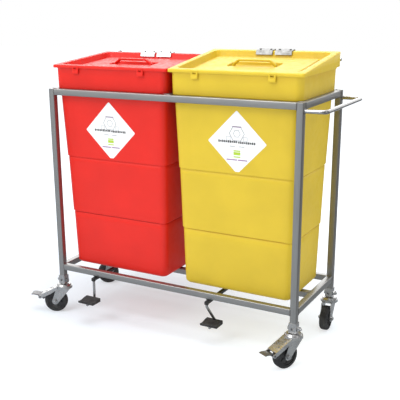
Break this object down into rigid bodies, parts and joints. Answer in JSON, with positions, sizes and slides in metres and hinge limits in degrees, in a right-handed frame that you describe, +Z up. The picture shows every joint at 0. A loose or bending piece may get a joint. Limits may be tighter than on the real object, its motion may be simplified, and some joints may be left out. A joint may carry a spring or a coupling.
{
  "type": "two-bin pedal waste trolley",
  "caption": "Steel tube trolley on swivel castors, the front two braked, carrying a red and a yellow waste bin, each with a hinged wedge lid opened by a foot pedal through a push rod.",
  "frame": {"origin": "on the floor, in the middle of the whole outline including castors and push handle", "axes": "+X towards the push handle (right end), +Y towards the hinge rod (rear), +Z up; front is -Y"},
  "size_m": [1.041, 0.4713, 0.8994],
  "materials": {
    "stainless_tube": "brushed along the tube, satin",
    "zinc_plate": "bright zinc plate",
    "bright_rod": "polished round bar",
    "black_rubber": "matte, slightly worn",
    "red_plastic": "satin moulded polyethylene",
    "yellow_plastic": "satin moulded polyethylene",
    "label_white": "glossy adhesive film",
    "black_steel": "black powder coat",
    "castor_zinc": "pressed, zinc plated",
    "hub_plastic": "moulded, matte",
    "castor_rubber": "matte",
    "brake_steel": "dark plated"
  },
  "bodies": {
    "frame": {"leg_front_left": "stainless_tube", "leg_front_right": "stainless_tube", "leg_rear_left": "stainless_tube", "leg_rear_right": "stainless_tube", "top_long_rails": "stainless_tube", "top_short_rails": "stainless_tube", "bottom_long_rails": "stainless_tube", "bottom_short_rails": "stainless_tube", "leg_caps": "stainless_tube", "push_handle": "stainless_tube", "castor_sockets": "zinc_plate", "socket_bolts": "zinc_plate", "castor_stems": "zinc_plate", "hinge_rod": "bright_rod", "hinge_brackets": "stainless_tube", "rod_guides": "stainless_tube", "pivot_brackets": "stainless_tube", "pivot_pins": "zinc_plate", "pedal_stops": "black_rubber", "red_bin": "red_plastic", "red_label": "label_white", "yellow_bin": "yellow_plastic", "yellow_label": "label_white"},
    "red_lid": {"red_lid": "red_plastic", "red_lid_clips": "zinc_plate", "red_clip_screws": "black_steel", "red_hinge_tube": "zinc_plate"},
    "red_push_rod": {"red_push_rod": "bright_rod"},
    "red_pedal": {"red_pedal_lever": "black_steel", "red_pedal_arm": "bright_rod", "red_pedal_pad": "black_rubber"},
    "yellow_lid": {"yellow_lid": "yellow_plastic", "yellow_lid_clips": "zinc_plate", "yellow_clip_screws": "black_steel", "yellow_hinge_tube": "zinc_plate"},
    "yellow_push_rod": {"yellow_push_rod": "bright_rod"},
    "yellow_pedal": {"yellow_pedal_lever": "black_steel", "yellow_pedal_arm": "bright_rod", "yellow_pedal_pad": "black_rubber"},
    "castor_front_left": {"fork_front_left": "castor_zinc", "axle_front_left": "castor_zinc"},
    "wheel_front_left": {"hub_front_left": "hub_plastic", "tyre_front_left": "castor_rubber"},
    "brake_front_left": {"brake_lever_front_left": "brake_steel"},
    "castor_front_right": {"fork_front_right": "castor_zinc", "axle_front_right": "castor_zinc"},
    "wheel_front_right": {"hub_front_right": "hub_plastic", "tyre_front_right": "castor_rubber"},
    "brake_front_right": {"brake_lever_front_right": "brake_steel"},
    "castor_rear_left": {"fork_rear_left": "castor_zinc", "axle_rear_left": "castor_zinc"},
    "wheel_rear_left": {"hub_rear_left": "hub_plastic", "tyre_rear_left": "castor_rubber"},
    "castor_rear_right": {"fork_rear_right": "castor_zinc", "axle_rear_right": "castor_zinc"},
    "wheel_rear_right": {"hub_rear_right": "hub_plastic", "tyre_rear_right": "castor_rubber"}
  },
  "joints": [
    {"name": "red_pedal_pivot", "type": "hinge", "parent": "frame", "child": "red_pedal", "pos_m": [-0.264, 0.0315, 0.15], "axis": [1, 0, 0], "range_deg": [0, 11.5]},
    {"name": "red_rod_slide", "type": "slide", "parent": "frame", "child": "red_push_rod", "axis": [0, 0, 1], "range_m": [0, 0.03666]},
    {"name": "red_lid_hinge", "type": "hinge", "parent": "frame", "child": "red_lid", "pos_m": [-0.196, 0.2265, 0.868], "axis": [-1, 0, 0], "range_deg": [0, 81.77]},
    {"name": "yellow_pedal_pivot", "type": "hinge", "parent": "frame", "child": "yellow_pedal", "pos_m": [0.166, 0.0315, 0.15], "axis": [1, 0, 0], "range_deg": [0, 11.5]},
    {"name": "yellow_rod_slide", "type": "slide", "parent": "frame", "child": "yellow_push_rod", "axis": [0, 0, 1], "range_m": [0, 0.03666]},
    {"name": "yellow_lid_hinge", "type": "hinge", "parent": "frame", "child": "yellow_lid", "pos_m": [0.234, 0.2265, 0.868], "axis": [-1, 0, 0], "range_deg": [0, 81.77]},
    {"name": "swivel_front_left", "type": "hinge", "parent": "frame", "child": "castor_front_left", "pos_m": [-0.407, -0.1235, 0.098], "axis": [0, 0, 1], "continuous": true},
    {"name": "wheel_spin_front_left", "type": "hinge", "parent": "castor_front_left", "child": "wheel_front_left", "pos_m": [-0.43532, -0.13611, 0.04], "axis": [0.4067, -0.9135, 0], "continuous": true},
    {"name": "brake_press_front_left", "type": "hinge", "parent": "castor_front_left", "child": "brake_front_left", "pos_m": [-0.48374, -0.15767, 0.057], "axis": [0.4067, -0.9135, 0], "range_deg": [0, 14]},
    {"name": "swivel_front_right", "type": "hinge", "parent": "frame", "child": "castor_front_right", "pos_m": [0.445, -0.1235, 0.098], "axis": [0, 0, 1], "continuous": true},
    {"name": "wheel_spin_front_right", "type": "hinge", "parent": "castor_front_right", "child": "wheel_front_right", "pos_m": [0.43045, -0.15087, 0.04], "axis": [0.8829, -0.4695, 0], "continuous": true},
    {"name": "brake_press_front_right", "type": "hinge", "parent": "castor_front_right", "child": "brake_front_right", "pos_m": [0.40556, -0.19767, 0.057], "axis": [0.8829, -0.4695, 0], "range_deg": [0, 14]},
    {"name": "swivel_rear_left", "type": "hinge", "parent": "frame", "child": "castor_rear_left", "pos_m": [-0.407, 0.1965, 0.098], "axis": [0, 0, 1], "continuous": true},
    {"name": "wheel_spin_rear_left", "type": "hinge", "parent": "castor_rear_left", "child": "wheel_rear_left", "pos_m": [-0.43385, 0.181, 0.04], "axis": [0.5, -0.866, 0], "continuous": true},
    {"name": "swivel_rear_right", "type": "hinge", "parent": "frame", "child": "castor_rear_right", "pos_m": [0.445, 0.1965, 0.098], "axis": [0, 0, 1], "continuous": true},
    {"name": "wheel_spin_rear_right", "type": "hinge", "parent": "castor_rear_right", "child": "wheel_rear_right", "pos_m": [0.44662, 0.16554, 0.04], "axis": [0.9986, 0.0523, 0], "continuous": true}
  ],
  "couplings": [
    {"joint": "red_rod_slide", "follows": "red_pedal_pivot", "m_per_rad": 0.1826},
    {"joint": "red_lid_hinge", "follows": "red_pedal_pivot", "ratio": 7.1092},
    {"joint": "yellow_rod_slide", "follows": "yellow_pedal_pivot", "m_per_rad": 0.1826},
    {"joint": "yellow_lid_hinge", "follows": "yellow_pedal_pivot", "ratio": 7.1092}
  ]
}
